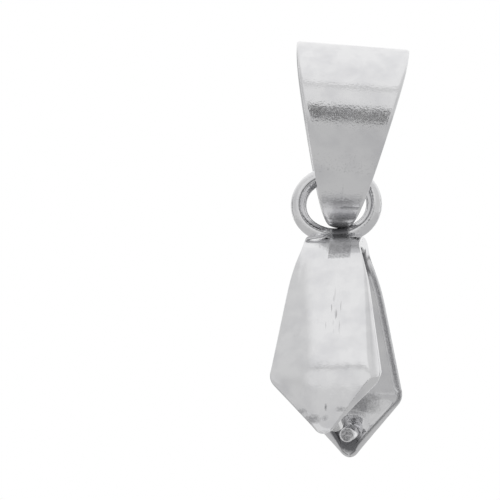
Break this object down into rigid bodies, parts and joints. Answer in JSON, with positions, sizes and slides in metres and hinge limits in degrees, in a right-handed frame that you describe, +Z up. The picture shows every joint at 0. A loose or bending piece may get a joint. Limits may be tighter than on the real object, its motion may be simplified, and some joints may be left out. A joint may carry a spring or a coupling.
{
  "type": "pinch bail finding",
  "caption": "Polished steel pinch bail: a bent strap with domed kite-shaped leaves and inward pins, with a soldered ring that hangs in a tapered ribbon loop.",
  "frame": {"origin": "inside top of the ribbon loop, where the chain or cord carries the finding", "axes": "+Z up, +X across the leaves, Y the way the leaves open, with the front leaf towards -Y"},
  "size_m": [0.009, 0.0124, 0.0265],
  "materials": {
    "polished_steel": "polished stainless steel"
  },
  "bodies": {
    "ribbon": {"ribbon_bail": "polished_steel"},
    "claw": {"pinch_claw": "polished_steel"}
  },
  "joints": [
    {"name": "claw_swing", "type": "hinge", "parent": "ribbon", "child": "claw", "pos_m": [-0.00133, 0.0016, -0.0111], "axis": [1, 0, 0], "range_deg": [-15, 38]}
  ]
}
